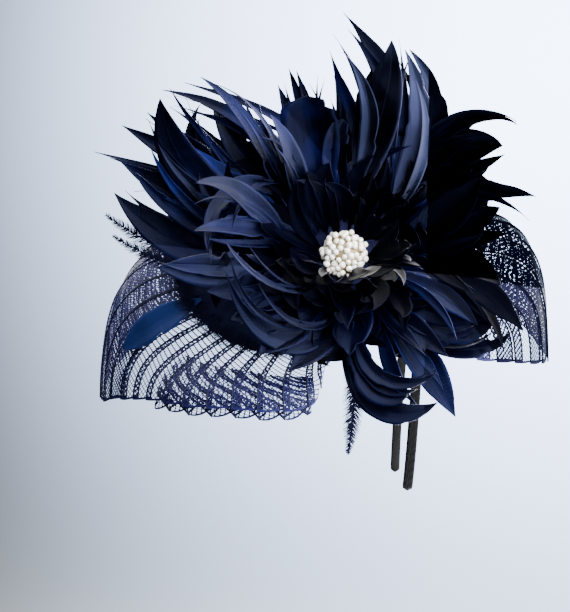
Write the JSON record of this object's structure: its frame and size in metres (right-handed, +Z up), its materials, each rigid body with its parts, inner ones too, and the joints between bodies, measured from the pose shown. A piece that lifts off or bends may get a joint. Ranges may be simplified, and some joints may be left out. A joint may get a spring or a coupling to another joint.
{
  "type": "fascinator headband",
  "caption": "Headband with a pleated horsehair net in two lobes, a large feather flower and a domed pearl centre on one side.",
  "frame": {"origin": "inner face of the headband at the top of its arch, where it rests on the crown of the head", "axes": "+X towards the wearer's left, the side that carries the flower; -Y towards the face; +Z up"},
  "size_m": [0.2216, 0.3022, 0.302],
  "materials": {
    "band_satin": "satin",
    "navy_crin": "glossy thread net",
    "dark_feather": "matt",
    "navy_feather": "satin",
    "pearl": "pearl lustre"
  },
  "bodies": {
    "root": {"headband": "band_satin", "crin_brim": "navy_crin", "crin_underlay": "navy_crin", "feather_pad": "dark_feather", "feather_flower": "navy_feather", "pearl_cluster": "pearl"}
  },
  "joints": []
}
